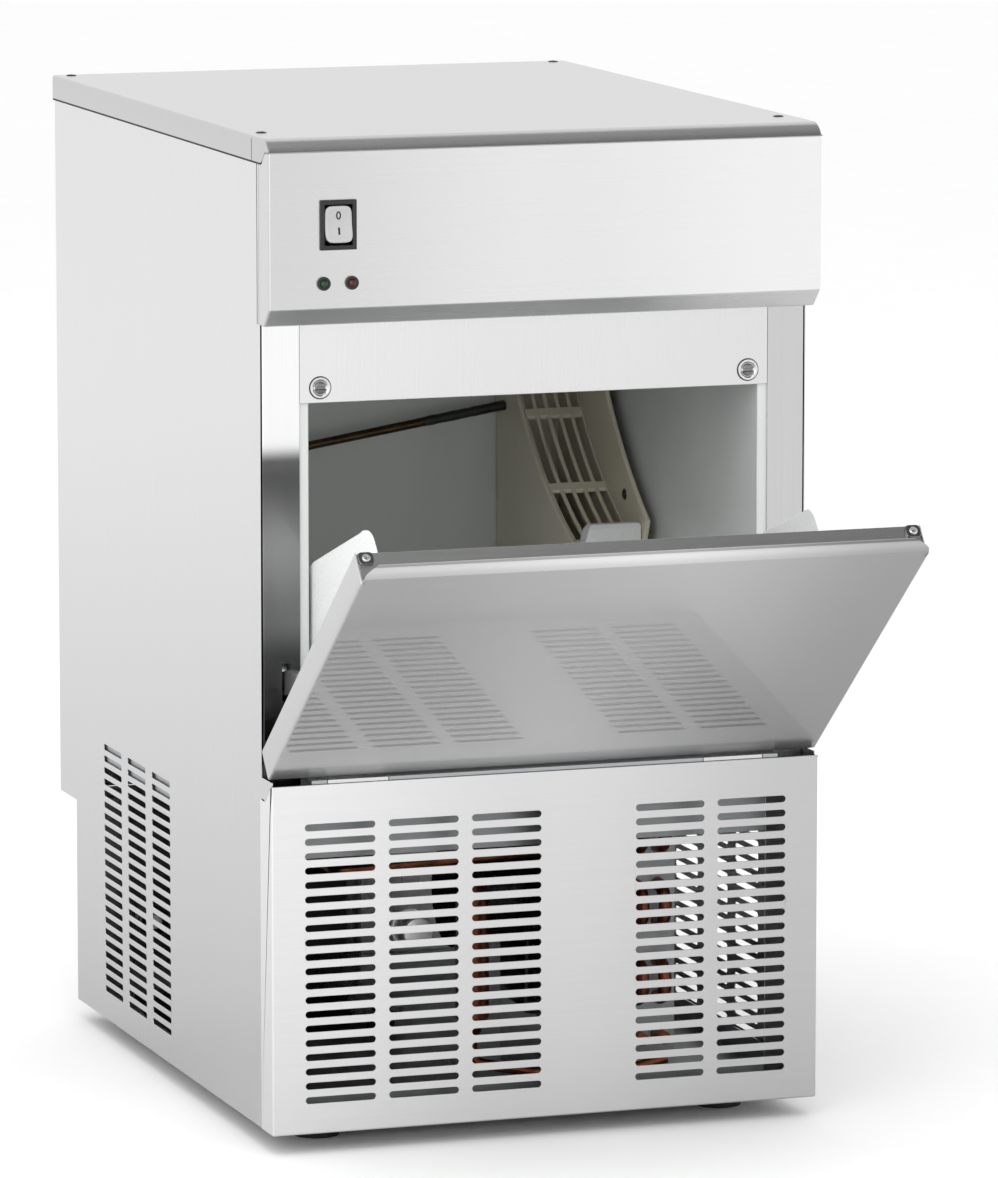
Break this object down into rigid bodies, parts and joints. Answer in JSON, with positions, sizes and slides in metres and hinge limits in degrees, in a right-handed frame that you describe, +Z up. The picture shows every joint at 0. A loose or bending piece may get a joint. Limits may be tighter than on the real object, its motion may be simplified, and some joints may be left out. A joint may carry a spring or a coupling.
{
  "type": "ice maker",
  "caption": "Stainless under-counter ice cube maker with a bottom-hinged bin door resting open, slotted lower panel, rocker switch and slatted ice chute.",
  "frame": {"origin": "on the floor below the centre of the whole box, with the bin door resting open", "axes": "+Z up, +X to the right of someone facing the machine, -Y to the front"},
  "size_m": [0.34, 0.6329, 0.5978],
  "materials": {
    "satin_stainless": "satin stainless sheet, fine grain",
    "galvanised_steel": "galvanised sheet, dull",
    "white_plastic": "moulded white polystyrene, soft sheen",
    "beige_plastic": "moulded beige polystyrene, soft sheen",
    "foam": "rigid foam, matt",
    "black_plastic": "black moulded plastic, satin",
    "black_screw": "blackened steel",
    "rocker_plastic": "light grey plastic, gloss",
    "green_lens": "translucent green lens, gloss",
    "red_lens": "translucent red lens, gloss",
    "copper": "bare copper, slightly dull",
    "dark_brass": "dark tinned copper tube, semi-gloss",
    "aluminium_fin": "bare aluminium fins",
    "black_paint": "black enamel, semi-gloss",
    "grey_plastic": "grey moulded plastic",
    "rubber": "black rubber"
  },
  "bodies": {
    "cabinet": {"left_side_panel": "satin_stainless", "right_side_panel": "satin_stainless", "rear_panel": "satin_stainless", "rear_lower_panel": "satin_stainless", "base_tray": "galvanised_steel", "top_cover": "satin_stainless", "top_cover_screws": "black_screw", "control_panel": "satin_stainless", "switch_bezel": "black_plastic", "led_green": "green_lens", "led_red": "red_lens", "led_holders": "black_plastic", "left_jamb": "satin_stainless", "right_jamb": "satin_stainless", "front_rail": "satin_stainless", "rail_screws": "satin_stainless", "rail_screw_washers": "satin_stainless", "lower_front_panel": "satin_stainless", "feet": "black_plastic", "hinge_leaves_body": "satin_stainless", "bin_liner": "white_plastic", "bin_insulation": "foam", "bin_ceiling": "white_plastic", "ice_chute_housing": "beige_plastic", "ice_chute_grille": "beige_plastic", "chute_lip": "beige_plastic", "thermostat_tube": "dark_brass", "thermostat_sleeve": "black_plastic", "evaporator_plate": "copper", "evaporator_coil": "copper", "spray_bar": "beige_plastic", "spray_chamber": "beige_plastic", "compartment_shelf": "galvanised_steel", "condenser_fins": "aluminium_fin", "condenser_end_plates": "galvanised_steel", "condenser_coil": "copper", "fan_shroud": "galvanised_steel", "fan_motor": "black_paint", "fan_motor_stand": "galvanised_steel", "compressor_body": "black_paint", "compressor_feet": "rubber", "compressor_terminal_cover": "black_plastic", "filter_drier": "copper", "refrigerant_tubes": "copper", "electrical_box": "grey_plastic", "water_pump": "black_plastic", "water_inlet_valve": "white_plastic", "drain_spigot": "white_plastic", "power_gland": "black_plastic"},
    "door": {"door_skin": "satin_stainless", "door_insulation": "foam", "door_liner": "white_plastic", "door_gussets": "white_plastic", "door_stop_arms": "satin_stainless", "door_top_plate": "satin_stainless", "door_screws": "black_screw", "hinge_leaves_door": "satin_stainless", "hinge_pins": "satin_stainless"},
    "rocker": {"switch_rocker": "rocker_plastic"},
    "fan": {"fan_blade": "black_plastic"}
  },
  "joints": [
    {"name": "door_hinge", "type": "hinge", "parent": "cabinet", "child": "door", "pos_m": [0, -0.1337, 0.23], "axis": [1, 0, 0], "range_deg": [-51.5, 0]},
    {"name": "switch_tilt", "type": "hinge", "parent": "cabinet", "child": "rocker", "pos_m": [-0.1282, -0.1372, 0.546], "axis": [1, 0, 0], "range_deg": [0, 16]},
    {"name": "fan_spin", "type": "hinge", "parent": "cabinet", "child": "fan", "pos_m": [0.042, 0.0153, 0.118], "axis": [1, 0, 0], "continuous": true}
  ]
}
